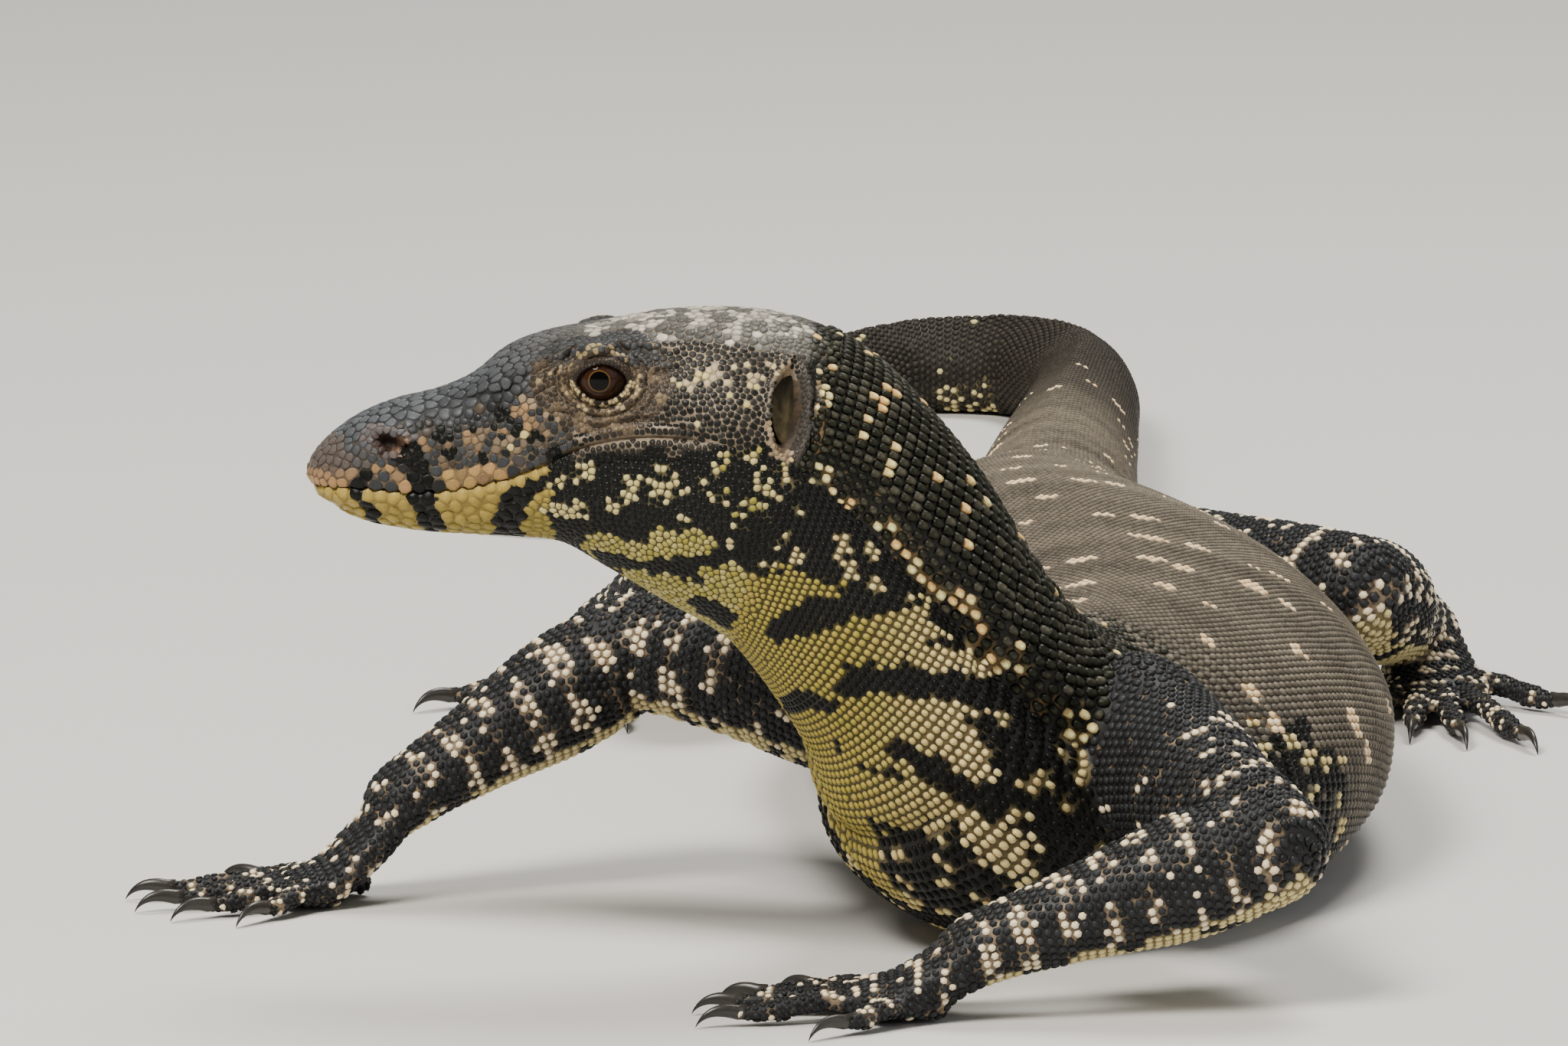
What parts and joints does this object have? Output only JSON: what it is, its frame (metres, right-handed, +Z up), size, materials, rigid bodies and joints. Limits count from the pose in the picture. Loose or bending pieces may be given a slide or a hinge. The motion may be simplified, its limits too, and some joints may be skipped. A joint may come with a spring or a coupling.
{
  "type": "lizard model",
  "caption": "Life-size still model of a water monitor lizard at rest, neck raised and head held level, hind body and curled tail flat on the floor.",
  "frame": {"origin": "on the floor, under the middle of the model's bounding box", "axes": "+Z up, the nose points along -X, the hind body and tail run along +Y, the animal's left flank faces +X and its left cheek -Y"},
  "size_m": [0.3155, 0.7651, 0.1351],
  "materials": {
    "head_skin": "satin scaled hide, slate grey",
    "jaw_skin": "satin scaled hide, tan yellow with dark bars",
    "neck_skin": "satin scaled hide, near black with cream scales",
    "back_skin": "satin scaled hide, grey brown with cream spots",
    "limb_skin": "satin scaled hide, near black with white spots",
    "tail_skin": "satin scaled hide, near black with cream bands",
    "eye": "wet gloss, dark brown",
    "ear": "thin dull membrane, dark brown"
  },
  "bodies": {
    "root": {"head": "head_skin", "lower_jaw": "jaw_skin", "neck": "neck_skin", "chest": "back_skin", "torso": "back_skin", "hips": "back_skin", "eye_left": "eye", "eardrum_left": "ear", "upper_arm_left": "limb_skin", "forearm_left": "limb_skin", "hand_left": "limb_skin", "thigh_left": "limb_skin", "shank_left": "limb_skin", "foot_left": "limb_skin", "eye_right": "eye", "eardrum_right": "ear", "upper_arm_right": "limb_skin", "forearm_right": "limb_skin", "hand_right": "limb_skin", "thigh_right": "limb_skin", "shank_right": "limb_skin", "foot_right": "limb_skin", "tail_1": "tail_skin", "tail_2": "tail_skin", "tail_3": "tail_skin", "tail_4": "tail_skin", "tail_5": "tail_skin"}
  },
  "joints": []
}
